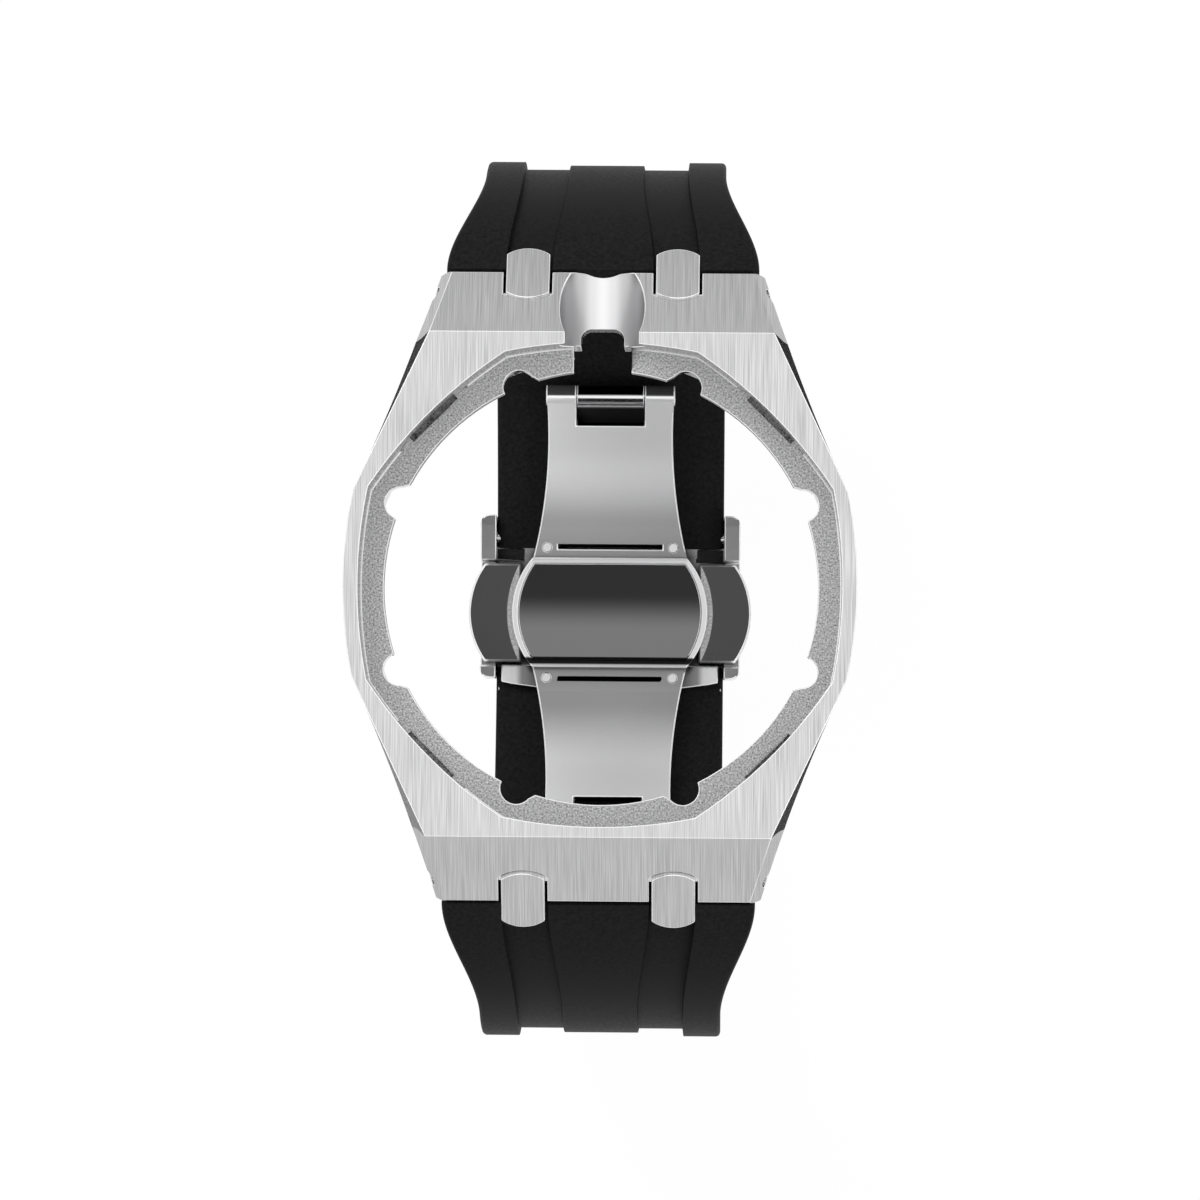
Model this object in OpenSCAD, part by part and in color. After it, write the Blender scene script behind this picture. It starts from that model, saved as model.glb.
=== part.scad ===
// Watch middle case of steel with a two-piece moulded rubber strap and a butterfly clasp.
// The wearer's side of the clasp faces up (+Z) through the open case.
// Origin: centre of the movement opening, on the top face of the ledge the movement sits on.
// +Z points out of the front of the watch, +Y to twelve o'clock, +X to three o'clock.

/* [Case] */
// half width of the case across three and nine o'clock
case_half = 22.95; // [22.6:0.05:23.6]
// height of the front plane above the ledge
front_z = 6.5; // [6.2:0.1:7.0]
// full thickness of the case
case_thick = 11; // [10.6:0.1:11.6]
// distance from the centre to the middle of each wall of the eight-sided recess
recess_half = 21.61; // [21.3:0.01:21.7]
// radius of the gentle outward curve of each recess wall
recess_bulge_r = 43.5; // [40:0.5:60]
// radius of the movement opening through the ledge
opening_r = 19.55; // [19.2:0.05:19.8]
// thickness of the ledge
ledge_thick = 2; // [1.6:0.1:2.4]
// radius of the recess for the case back
back_r = 21; // [20.6:0.1:21.2]
// radius of the eight scallops in the edge of the ledge
scallop_r = 1.45; // [1.2:0.05:1.5]

/* [Lugs] */
// slope of the lug faces below the front plane, in degrees
lug_slope = 38; // [36:0.5:40]
// distance from the centre to the crease where the lug faces start
crease_y = 22.54; // [22.4:0.01:22.7]
// distance from the centre to the tips of the lugs
tip_y = 28.2; // [28:0.05:28.4]
// distance of the strap hinge behind the tip edge, along the lug face
hinge_back = 1.5; // [1.4:0.05:1.6]
// depth of the strap hinge below the lug face
hinge_down = 1.8; // [1.7:0.05:1.9]
// width of the polished bevel along the lug sides
side_bevel = 0.9; // [0.6:0.05:1.0]

/* [Strap] */
// half width of the strap where it meets the case
strap_half_wide = 14.05; // [13.8:0.05:14.2]
// half width of the strap from its bend down to the clasp
strap_half = 11; // [10.8:0.05:11.2]
// farthest reach of the strap loop from the centre along Y
loop_half = 40.5; // [40:0.1:41]
// thickness of the strap next to the case
strap_thick_lug = 4; // [3.8:0.1:4.2]
// thickness of the strap inside the clasp
strap_thick_end = 2; // [1.9:0.05:2.1]
// depth of the two long channels in the outer face
channel_depth = 0.7; // [0.5:0.05:0.9]
// step from the side ribs down to the centre band
band_step = 0.3; // [0.2:0.05:0.4]

/* [Links] */
// width of each steel link
link_w = 3.9; // [3.7:0.05:4.0]
// distance of each link from the middle of the lug
link_x = 6.73; // [6.6:0.01:6.9]
// length of each link
link_len = 6; // [5.8:0.1:6.2]
// radius of the hinge screws
screw_r = 0.6; // [0.55:0.05:0.65]
// radius of the cross bars inside the strap
bar_r = 0.6; // [0.5:0.05:0.7]

/* [Clasp] */
// radius of the strap's outer face at the clasp
clasp_r = 44.2; // [43.8:0.1:44.6]
// depth from the inner face of the clasp arms to the strap's outer face
arm_drop = 5; // [4.9:0.05:5.2]
// thickness of the clasp arms
arm_thick = 1.6; // [1.5:0.05:1.7]
// half width of the cut-out between the hinge ears
ear_gap = 3.3; // [3.2:0.05:3.5]
// half width of the bulged centre plate
bridge_half = 9.47; // [9.3:0.05:9.6]
// half length of the bulged centre plate along the strap
bridge_y = 5.3; // [5.1:0.05:5.4]
// half width over both push buttons
button_half = 13.7; // [13.5:0.05:13.9]
// half length of the push buttons along the strap
button_y = 4.75; // [4.6:0.05:4.8]
// half width over the clasp covers
cover_half = 12.6; // [12.5:0.05:12.8]
// length of the upper cover from the middle of the clasp
cover_len_top = 9.5; // [9.2:0.1:9.8]
// length of the lower cover from the middle of the clasp
cover_len_low = 6.3; // [6.1:0.1:6.6]
// radius of the four clasp hinge pins
pin_r = 0.5; // [0.45:0.05:0.55]

/* [Fits] */
// clearance around each hinge pin and button stem, on the radius
run_fit = 0.05; // [0.03:0.01:0.08]
// gap between pieces that move past each other
move_gap = 0.3; // [0.3:0.05:0.35]
// gap around a link in its slot in the case
link_gap = 0.25; // [0.2:0.05:0.3]

/* [Hidden] */
$fn = 72;
back_z = front_z - case_thick;
// the lug face as a frame: along the slope (t) and square to it (n)
tx = cos(lug_slope);
tz = -sin(lug_slope);
tip_z = front_z - (tip_y - crease_y) * tan(lug_slope);
hinge_y = tip_y - hinge_back * tx - hinge_down * sin(lug_slope);
hinge_z = tip_z - hinge_back * tz - hinge_down * cos(lug_slope);
nose_r = sqrt(hinge_back * hinge_back + hinge_down * hinge_down);
// outline of the lug sides
corner_x = 22.1;
corner_y = 8.3;
side_r = (corner_y * corner_y + pow(case_half - corner_x, 2)) / (2 * (case_half - corner_x));
function flank_x(y) = corner_x - 0.47 * (y - corner_y) + 0.0044 * pow(y - corner_y, 2);
// centre line of the loop: three arcs, the last about the clasp centre
bend_r = (loop_half - tip_y) / (1 - sin(lug_slope));
bend_z = tip_z - bend_r * cos(lug_slope);
join_a = 140;
low_r = (loop_half - clasp_r * sin(join_a)) / (1 - sin(join_a));
clasp_z = bend_z + (low_r - clasp_r) * cos(join_a);
// length over which the strap narrows, along Y
ease_len = loop_half - tip_y - 1.81;
// longer than any piece, for cutting tools; they start deep below the clasp
far = 2 * clasp_r;
deep_z = clasp_z - far;
deep_h = 0.9 * far;
// hinges of the clasp, by radius and angle about the clasp centre; the foot clears the buttons
arm_r = clasp_r - arm_drop;
foot_r = clasp_r - 1.425;
foot_y = button_y + 2.6131;
foot_a = asin(foot_y / foot_r);
ear_r = arm_r + arm_thick / 2;
ear_a = 31.3;
foot_p = [foot_r * sin(foot_a), clasp_z - foot_r * cos(foot_a)];
ear_p = [ear_r * sin(ear_a), clasp_z - ear_r * cos(ear_a)];
arm_out = arm_r + arm_thick;
blade_in = arm_out + move_gap;
blade_thick = 1;
blade_half = 5;
// how far the cut-out between the ears runs back from the hinge
cut_back = 2.9;
knuckle_half = ear_gap - 0.1;
knuckle_r = 0.95;
foot_knuckle_r = 0.8;
cover_thick = 1.2;
corner_r = 0.9;
cover_wall = cover_half - strap_half - 0.05;
wall_in = clasp_r - 3.8;
bridge_in = arm_r - 0.9;
block_half = 7.2;
block_y = button_y - 0.05;
block_out = clasp_r - 1;
button_in = 8.6;
button_top = arm_r + move_gap;
button_bottom = clasp_r - 2;
stem_r = 0.9;
stem_at = clasp_r - 2.7;
stem_end = 4.6;
bore_end = 2.4;
link_low = 1;
barrel_r = nose_r;
barrel_curve = 5.19;
nose_gap = nose_r + move_gap;
head_r = 0.85;
// hinge screw along X: where the shank starts, where the head sits and ends, depth of its slot
screw_end = 4;
head_seat = 13.3;
head_end = 14.2;
slot_deep = 0.3;
slot_half = 0.2;
// windows of the pushers: they cut a shallow trench in the ledge at the foot of the recess wall
window_half = 1.9;
window_z = -0.6;
window_r = 0.95;
window_in = recess_half - 0.45;
// where the polished side bevels run out
bevel_y = 10.6;
// slot at twelve o'clock: half widths inside the recess and through its wall, and its end
slot_wide = 2.6;
slot_slim = 1.95;
slot_y = 23.2;
groove_r = 3.8;
groove_down = 1.9;
// cross bar of the links, along and square to the lug slope
bar_t = 3.1;
bar_n = 0.3;
bar_half = 10;
// where the strap ends and the notches for the blade feet stop
end_top = foot_y - 0.86;
end_low = foot_y - 2.06;
notch_room = 1.5;
foot_notch_y = foot_p[0] + notch_room;
notch_half = blade_half + 0.4;
// bracket over the end of the lower strap: wall, depth, half width, reach and radius of its arch
wall = 0.3;
bracket_thick = 1.1;
bracket_half = 10.5;
bracket_y = 7.7;
arch_r = 55;
// plan of the clasp arms: half width at the root and at the waist, radius and place of the waist
arm_half = 7.55;
waist_half = 6;
waist_r = 48;
waist_y = 17;
// slots and pins at the arm roots
root_y = 6.4;
root_slot = 5.05;
root_x = 6.1;
root_pin_r = 0.4;
ear_half = 6.2;
end_r = 8;
catch_half = 8;
catch_thick = 0.5;
catch_y = 1;
catch_end = 4;
cheek_run = 3;
cheek_drop = 1.2;
spring_len = 1.2;
spring_r = 0.55;

// ---- shared helpers

// round bar along X, centred on a point of the side view
module bar(p, r, x0, x1) {
  translate([x0, p[0], p[1]]) rotate([0, 90, 0]) cylinder(r = r, h = x1 - x0);
}

// curved sheet about the clasp centre, between two radii
module sheet(r0, r1, half_w) {
  difference() {
    bar([0, clasp_z], r1, -half_w, half_w);
    bar([0, clasp_z], r0, -half_w - 1, half_w + 1);
  }
}

// everything below the clasp centre between two Y values
module span(y0, y1, half_w) {
  translate([-half_w, y0, deep_z]) cube([2 * half_w, y1 - y0, deep_h]);
}

// moves a child drawn along x, t, n to the strap hinge of the lug at twelve o'clock
module at_hinge() {
  translate([0, hinge_y, hinge_z]) rotate([-lug_slope, 0, 0]) children();
}

module lower_half() {
  mirror([0, 1, 0]) children();
}

// ---- case

// half width of the case at a distance from the middle: a wide arc, then the lug flank
function half_x(y) = y < corner_y ? case_half - side_r + sqrt(side_r * side_r - y * y) : flank_x(y);

module case_plan() {
  n = 12;
  ys = concat([for (i = [0:n - 1]) corner_y * i / n],
              [for (i = [0:n]) corner_y + i * (tip_y + 1 - corner_y) / n]);
  m = len(ys) - 1;
  polygon(concat(
    [for (i = [0:m]) [half_x(ys[i]), ys[i]]],
    [for (i = [m:-1:0]) [-half_x(ys[i]), ys[i]]],
    [for (i = [1:m]) [-half_x(ys[i]), -ys[i]]],
    [for (i = [m:-1:1]) [half_x(ys[i]), -ys[i]]]));
}

// side view of the case with both lugs
module case_profile() {
  under_y = hinge_y - nose_r * sin(lug_slope);
  under_z = hinge_z - nose_r * cos(lug_slope);
  side = [[crease_y, front_z], [tip_y, tip_z], [hinge_y, hinge_z], [under_y, under_z],
          [back_r + 1.3, back_z]];
  rotate([90, 0, 90]) linear_extrude(height = 60, center = true) polygon(concat(
    side, [for (i = [4:-1:0]) [-side[i][0], side[i][1]]]));
  for (s = [-1, 1]) scale([1, s, 1]) at_hinge() intersection() {
    translate([-30, 0, 0]) rotate([0, 90, 0]) cylinder(r = nose_r, h = 60);
    translate([-30, -5, -5]) cube([60, 10, 5 + hinge_down]);
  }
}

// eight curved walls
module recess(r, h) {
  intersection_for(k = [0:7])
    rotate(45 * k) translate([r - recess_bulge_r, 0, 0]) cylinder(r = recess_bulge_r, h = h);
}

// scallop in the edge of the ledge, flared on the side towards twelve or six o'clock
module scallop() {
  cylinder(r = scallop_r, h = ledge_thick + 1);
  linear_extrude(height = ledge_thick + 1) polygon([[0.5 * scallop_r, 0.8 * scallop_r],
    [-0.5, 1.5 * scallop_r], [-0.5, 0.5 * scallop_r]]);
}

// slot for one link: a barrel about the hinge line
module link_slot(x) {
  w = link_w / 2 + link_gap;
  at_hinge() translate([x, 0, 0]) {
    barrel(barrel_r + link_gap, w, barrel_curve);
    translate([-w, 0, -6]) cube([2 * w, 6, 10]);
  }
}

// solid turned about the hinge line, fatter in the middle
module barrel(r, w, curve) {
  rotate([0, 90, 0]) rotate_extrude() intersection() {
    translate([0, -w]) square([r + 1, 2 * w]);
    translate([r - curve, 0]) circle(r = curve);
  }
}

// groove and slot above the movement opening at twelve o'clock
module groove() {
  translate([0, recess_half - 3, front_z - groove_down]) rotate([-90, 0, 0])
    cylinder(r = groove_r, h = 12, $fn = 144);
  translate([-slot_wide, 17, back_z - 1]) cube([2 * slot_wide, recess_half - 17, case_thick]);
  // the slot goes on through the wall, with a rounded end
  hull() for (s = [-1, 1])
    translate([s * (slot_slim - 1), slot_y - 1, back_z - 1]) cylinder(r = 1, h = case_thick - 1);
  translate([-slot_slim, 20, back_z - 1]) cube([2 * slot_slim, slot_y - 1 - 20, case_thick - 1]);
}

// one polished bevel along the side of a lug face
module lug_bevel() {
  ax = flank_x(crease_y) - side_bevel;
  bx = flank_x(bevel_y);
  turn = atan2(bx - ax, crease_y - bevel_y);
  translate([ax, crease_y, front_z]) rotate([0, 0, turn]) rotate([0, 52, 0])
    translate([0, -20, 0]) cube([6, 30, 6]);
  cx = flank_x(tip_y) - side_bevel;
  lean = atan2(ax - cx, (tip_y - crease_y) / cos(lug_slope));
  translate([ax, crease_y, front_z]) rotate([-lug_slope, 0, 0]) rotate([0, 0, lean])
    rotate([0, 50, 0]) translate([0, -0.4, 0]) cube([6, 12, 6]);
}

module case_body() {
  color("silver") difference() {
    intersection() {
      translate([0, 0, back_z - 1]) linear_extrude(height = case_thick + 2) case_plan();
      case_profile();
    }
    recess(recess_half, front_z + 1);
    translate([0, 0, back_z - 1]) cylinder(r = opening_r, h = case_thick + 2);
    translate([0, 0, back_z - 1]) cylinder(r = back_r, h = case_thick - front_z - ledge_thick + 1);
    for (k = [0:7]) rotate(22.5 + 45 * k) scale([1, k % 4 < 2 ? 1 : -1, 1])
      translate([opening_r, 0, -ledge_thick - 0.5]) scallop();
    for (k = [0:3]) rotate(45 + 90 * k) translate([window_in, 0, window_z]) {
      translate([0, -window_half, 0]) cube([10, 2 * window_half, 2 * window_r]);
      for (s = [-1, 1]) translate([0, s * window_half, window_r]) rotate([0, 90, 0])
        cylinder(r = window_r, h = 10);
    }
    groove();
    for (s = [-1, 1]) for (q = [-1, 1]) scale([q, s, 1]) {
      lug_bevel();
      link_slot(link_x);
      bar([hinge_y, hinge_z], screw_r + run_fit, screw_end - 0.1, case_half);
      bar([hinge_y, hinge_z], head_r + run_fit, head_seat, case_half);
    }
  }
}

// hinge screw: shank through the link, slotted head sunk in the side of the lug
module lug_screw() {
  difference() {
    union() {
      bar([hinge_y, hinge_z], screw_r, screw_end, head_seat + 0.1);
      bar([hinge_y, hinge_z], head_r, head_seat, head_end);
    }
    translate([head_end - slot_deep, hinge_y - slot_half, hinge_z - 2 * head_r])
      cube([1, 2 * slot_half, 4 * head_r]);
  }
}

module lug_screw_upper_left() { color("lightgrey") mirror([1, 0, 0]) lug_screw(); }
module lug_screw_upper_right() { color("lightgrey") lug_screw(); }
module lug_screw_lower_left() { color("lightgrey") lower_half() mirror([1, 0, 0]) lug_screw(); }
module lug_screw_lower_right() { color("lightgrey") lower_half() lug_screw(); }

// ---- links

module link() {
  mid = link_len / 2 - hinge_back;
  at_hinge() translate([link_x, 0, 0]) difference() {
    intersection() {
      union() {
        barrel(barrel_r, link_w / 2, barrel_curve);
        intersection() {
          translate([-link_w / 2, 0, -link_low]) cube([link_w, 6, link_low + hinge_down]);
          translate([0, mid, -3]) cylinder(r = link_len / 2, h = 6);
        }
      }
      translate([-5, -5, -4]) cube([10, 12, 4 + hinge_down]);
    }
    rotate([0, 90, 0]) cylinder(r = screw_r + run_fit, h = 8, center = true);
    translate([0, bar_t, bar_n]) rotate([0, 90, 0]) cylinder(r = bar_r, h = 8, center = true);
  }
}

module link_upper_left() { color("gainsboro") mirror([1, 0, 0]) link(); }
module link_upper_right() { color("gainsboro") link(); }
module link_lower_left() { color("gainsboro") lower_half() mirror([1, 0, 0]) link(); }
module link_lower_right() { color("gainsboro") lower_half() link(); }

module link_bar() {
  at_hinge() translate([-bar_half, bar_t, bar_n]) rotate([0, 90, 0]) cylinder(r = bar_r, h = 2 * bar_half);
}
module link_bar_upper() { color("grey") link_bar(); }
module link_bar_lower() { color("grey") lower_half() link_bar(); }

// ---- strap

// point of the loop at angle a from the clock face axis, sunk d below the outer face
function loop_pt(a, d) =
  a <= 90 ? [loop_half - bend_r + (bend_r - d) * sin(a), bend_z + (bend_r - d) * cos(a)]
  : a <= join_a ? [loop_half - low_r + (low_r - d) * sin(a), bend_z + (low_r - d) * cos(a)]
  : [(clasp_r - d) * sin(a), clasp_z + (clasp_r - d) * cos(a)];

// thickness falls evenly from the lug to where the clasp begins
function thick_at(a) = strap_thick_lug
  + (strap_thick_end - strap_thick_lug) * min(1, max(0, (a - lug_slope) / (150 - lug_slope)));

// side view of a layer of the strap between two depths, given as shares of a depth and the thickness
module layer(d0, d1, whole, a1) {
  n = 46;
  a0 = lug_slope;
  lead = [hinge_y - 2 * tx, hinge_z - 2 * tz];
  up = [sin(lug_slope), cos(lug_slope)];
  rotate([90, 0, 90]) linear_extrude(height = 60, center = true) polygon(concat(
    [lead + up * (hinge_down - d0)],
    [for (i = [0:n]) loop_pt(a0 + i * (a1 - a0) / n, d0)],
    [for (i = [n:-1:0]) let (a = a0 + i * (a1 - a0) / n) loop_pt(a, whole ? thick_at(a) : d1)],
    [lead + up * (hinge_down - (whole ? strap_thick_lug : d1))]));
}

// half width of a line along the strap, easing from w0 at the lug to w1 at the bend
function ease(u) = u <= 0 ? 0 : u >= 1 ? 1 : u * u * (3 - 2 * u);
function line_x(y, w0, w1) = w0 + (w1 - w0) * ease((y - tip_y) / ease_len);

// plan of a band whose edge eases in, down to the bend; straight below it
module band(w0, w1) {
  n = 20;
  ys = [for (i = [0:n]) tip_y - 4 + i * (ease_len + 6) / n];
  translate([0, 0, bend_z + 8]) linear_extrude(height = far) polygon(concat(
    [for (y = ys) [line_x(y, w0, w1), y]],
    [for (i = [n:-1:0]) [-line_x(ys[i], w0, w1), ys[i]]]));
  translate([-w1, 0, bend_z + 8.5 - far]) cube([2 * w1, far, far]);
}

module strap(end_y, notch_y) {
  difference() {
    intersection() {
      layer(0, 0, true, 176);
      band(strap_half_wide, strap_half);
    }
    // two long channels and the lower centre band
    intersection() {
      layer(-1, channel_depth, false, 164);
      difference() {
        band(8.75, 7.6);
        band(4.65, 3.5);
      }
    }
    intersection() {
      layer(-1, band_step, false, 164);
      band(4.65, 3.5);
    }
    // end cut square, and a nose-shaped hollow next to the case
    translate([-far / 2, -far / 2, deep_z]) cube([far, far / 2 + end_y, deep_h]);
    bar([hinge_y, hinge_z], nose_gap, -20, 20);
    at_hinge() translate([-20, -9, -6]) cube([40, 9, 10]);
    // pockets for the links and their cross bar
    for (s = [-1, 1]) at_hinge() translate([s * link_x, 0, 0]) {
      intersection() {
        translate([-link_w / 2 - 0.03, 0, -link_low]) cube([link_w + 0.06, 6, 4]);
        translate([0, link_len / 2 - hinge_back, -3]) cylinder(r = link_len / 2 + 0.03, h = 6);
      }
    }
    at_hinge() translate([-bar_half, bar_t, bar_n]) rotate([0, 90, 0]) cylinder(r = bar_r, h = 2 * bar_half);
    // notch for the foot of the blade and its pin
    intersection() {
      span(-1, notch_y, notch_half);
      sheet(arm_r, foot_r + foot_knuckle_r + 0.2, 20);
    }
    bar(foot_p, pin_r, -cover_half, cover_half);
  }
}
module strap_upper() {
  color([0.13, 0.13, 0.13]) strap(end_top, foot_notch_y);
}

module strap_lower() {
  color([0.13, 0.13, 0.13]) lower_half() strap(end_low, foot_notch_y);
}

// ---- clasp covers, fixed on the strap ends

module cover(len) {
  difference() {
    union() {
      intersection() {
        sheet(clasp_r, clasp_r + cover_thick, cover_half);
        span(0.15, len, cover_half);
      }
      intersection() {
        sheet(wall_in, clasp_r + cover_thick, cover_half);
        span(0.15, len, cover_half);
        for (s = [-1, 1]) translate([s * (cover_half - cover_wall / 2), 0, clasp_z - clasp_r])
          cube([cover_wall, far, far / 2], center = true);
      }
    }
    // room for the push buttons in the side walls
    translate([-far / 2, -1, clasp_z - button_bottom - 0.4])
      cube([far, 1 + button_y + 0.35, far / 2]);
    bar(foot_p, pin_r, -cover_half - 1, cover_half + 1);
    // rounded corners at the ends of the side walls
    for (s = [-1, 1]) scale([s, 1, 1]) difference() {
      span(len - corner_r, len + 1, 2 * cover_half);
      translate([cover_half - corner_r - far, 0, deep_z]) cube([far, far, deep_h]);
      translate([cover_half - corner_r, len - corner_r, deep_z]) cylinder(r = corner_r, h = deep_h);
    }
  }
}

// sloping cheek between the floor and a side wall, just before the end of the strap
module cheek() {
  rotate([90, 0, 0]) translate([0, 0, -end_top + 0.1]) linear_extrude(height = end_top - button_y - 0.5)
    polygon([[cover_half - 0.2, clasp_z - wall_in - cheek_drop],
             [cover_half - cover_wall, clasp_z - wall_in - cheek_drop],
             [notch_half + cheek_run, clasp_z - clasp_r + 0.5],
             [notch_half + cheek_run, clasp_z - clasp_r], [cover_half - 0.2, clasp_z - clasp_r]]);
}

module cover_upper() {
  color("dimgrey") {
    cover(cover_len_top);
    for (s = [-1, 1]) scale([s, 1, 1]) cheek();
  }
}
module cover_lower() { color("dimgrey") lower_half() cover(cover_len_low); }

// plate on the cover floor that the push buttons hold when the clasp is shut
module catch_plate() {
  intersection() {
    sheet(clasp_r - catch_thick, clasp_r, catch_half);
    span(catch_y, catch_end, catch_half);
  }
}
module catch_plate_upper() { color("grey") catch_plate(); }
module catch_plate_lower() { color("grey") lower_half() catch_plate(); }

// arched bracket over the end of the lower strap, with a wall across the strap's end face
module end_bracket_lower() {
  top = clasp_r - strap_thick_end;
  color("dimgrey") lower_half() {
    difference() {
      intersection() {
        sheet(top - bracket_thick, top, bracket_half);
        span(end_low - wall, bracket_y + 1, bracket_half);
        translate([0, bracket_y - arch_r, deep_z]) cylinder(r = arch_r, h = deep_h);
      }
      span(end_low, bracket_y + 2, notch_half);
    }
    intersection() {
      sheet(top - bracket_thick / 2, clasp_r, bracket_half);
      span(end_low - wall, end_low, bracket_half);
    }
  }
}

module strap_pin_upper() { color("lightgrey") bar(foot_p, pin_r, 0.2 - cover_half, cover_half - 0.2); }
module strap_pin_lower() {
  color("lightgrey") lower_half() bar(foot_p, pin_r, 0.2 - strap_half, strap_half - 0.2);
}

// ---- blades

module blade() {
  neck_a = asin((ear_p[0] - cut_back) / blade_in);
  p = [[(blade_in) * sin(neck_a), clasp_z - blade_in * cos(neck_a)],
       [(blade_in + blade_thick) * sin(neck_a), clasp_z - (blade_in + blade_thick) * cos(neck_a)],
       ear_p + 0.85 * [sin(12), -cos(12)], ear_p + 0.85 * [-sin(40), -cos(40) + 0.9]];
  web = [for (q = [[blade_in, 0], [blade_in, 1], [foot_r, 1], [foot_r, 0]])
    [q[0] * sin(foot_a + q[1]), clasp_z - q[0] * cos(foot_a + q[1])]];
  difference() {
    union() {
      intersection() {
        sheet(blade_in, blade_in + blade_thick, blade_half);
        span(foot_p[0], (blade_in + 0.5) * sin(neck_a + 0.6), blade_half);
      }
      bar(foot_p, foot_knuckle_r, -blade_half, blade_half);
      rotate([90, 0, 90]) linear_extrude(height = 2 * blade_half, center = true) polygon(web);
      rotate([90, 0, 90]) linear_extrude(height = 2 * knuckle_half, center = true) polygon(p);
      bar(ear_p, knuckle_r, -knuckle_half, knuckle_half);
    }
    bar(foot_p, pin_r + run_fit, -15, 15);
    bar(ear_p, pin_r, -15, 15);
  }
}
module blade_upper() { color("silver") blade(); }
module blade_lower() { color("silver") lower_half() blade(); }

// ---- clasp base with its two arms

module arm_plan() {
  difference() {
    square([2 * arm_half, 2 * ear_p[0]], center = true);
    for (s = [-1, 1]) for (q = [-1, 1])
      translate([s * (waist_half + waist_r), q * waist_y]) circle(r = waist_r);
  }
  square([2 * arm_half, 2 * block_y + 0.6], center = true);
}

module clasp_base() {
  color("silver") difference() {
    union() {
      intersection() {
        sheet(arm_r, arm_out, 10);
        translate([0, 0, deep_z]) linear_extrude(height = deep_h) arm_plan();
      }
      for (q = [-1, 1]) scale([1, q, 1]) bar(ear_p, knuckle_r, -ear_half, ear_half);
      // block that carries the button stems
      intersection() {
        sheet(arm_out - 0.5, block_out, block_half);
        span(-block_y, block_y, block_half);
      }
    }
    for (q = [-1, 1]) scale([1, q, 1])
      translate([-ear_gap, ear_p[0] - cut_back, deep_z]) cube([2 * ear_gap, 6, deep_h]);
    bar(ear_p, pin_r + run_fit, -15, 15);
    // eyes of the lower ears are open at the end
    scale([1, -1, 1]) {
      bar(ear_p, pin_r + run_fit, -15, 15);
      translate([-15, ear_p[0], ear_p[1] - pin_r - run_fit]) cube([30, 4, 2 * (pin_r + run_fit)]);
    }
    for (s = [-1, 1]) scale([s, 1, 1])
      bar([0, clasp_z - stem_at], stem_r + run_fit, bore_end, 12);
    // narrow slots at the arm roots
    for (q = [-1, 1]) translate([-root_slot, q * root_y - 0.25, deep_z])
      cube([2 * root_slot, 0.5, deep_h]);
    for (q = [-1, 1]) for (s = [-1, 1])
      translate([s * root_x, q * (root_y - 0.1), deep_z]) cylinder(r = root_pin_r, h = deep_h);
  }
}

module hinge_pin() {
  bar(ear_p, pin_r, 0.05 - ear_half, ear_half - 0.05);
}
module hinge_pin_upper() { color("lightgrey") hinge_pin(); }
module hinge_pin_lower() { color("lightgrey") lower_half() hinge_pin(); }

module root_pin() {
  intersection() {
    translate([root_x, root_y - 0.1, deep_z]) cylinder(r = root_pin_r, h = deep_h);
    sheet(arm_r - 0.12, arm_out, 10);
  }
}
module root_pin_upper_left() { color("white") mirror([1, 0, 0]) root_pin(); }
module root_pin_upper_right() { color("white") root_pin(); }
module root_pin_lower_left() { color("white") lower_half() mirror([1, 0, 0]) root_pin(); }
module root_pin_lower_right() { color("white") lower_half() root_pin(); }

// bulged centre plate with rounded ends
module end_rounds(half, r) {
  for (s = [-1, 1]) translate([s * (half - r), 0, deep_z]) cylinder(r = r, h = deep_h);
}

module bridge() {
  color("silver") difference() {
    intersection() {
      sheet(bridge_in, arm_r, 12);
      span(-bridge_y, bridge_y, 12);
      end_rounds(bridge_half, end_r);
    }
    intersection() {
      sheet(bridge_in - 1, bridge_in + 0.4, 12);
      span(-bridge_y + 0.65, bridge_y - 0.55, 12);
      end_rounds(bridge_half - 0.6, end_r);
    }
  }
}

module bridge_plate() {
  color([0.3, 0.3, 0.32]) intersection() {
    sheet(bridge_in + 0.05, bridge_in + 0.4, 12);
    span(-bridge_y + 0.95, bridge_y - 0.6, 12);
    end_rounds(bridge_half - 0.65, end_r);
  }
}

// ---- push buttons

module button_right() {
  color([0.3, 0.3, 0.32]) push_button();
}
module button_left() {
  color([0.3, 0.3, 0.32]) mirror([1, 0, 0]) push_button();
}

module push_button() {
  intersection() {
    sheet(button_top, button_bottom, 2 * button_half);
    span(-button_y, button_y, 2 * button_half);
    translate([button_half - end_r, 0, deep_z]) cylinder(r = end_r, h = deep_h);
    translate([button_in, -far / 2, deep_z]) cube([far, far, deep_h]);
  }
  bar([0, clasp_z - stem_at], stem_r, stem_end, button_in + 1);
}

// spring behind a stem, at its pressed length: stacked turns
module button_spring() {
  turns = 4;
  pitch = spring_len / turns;
  for (i = [0:turns - 1]) translate([bore_end + (i + 0.5) * pitch, 0, clasp_z - stem_at])
    rotate([0, 90, 0]) rotate_extrude() translate([spring_r, 0]) circle(r = pitch / 2 + 0.01);
}
module button_spring_left() { color("white") mirror([1, 0, 0]) button_spring(); }
module button_spring_right() { color("white") button_spring(); }

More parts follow.
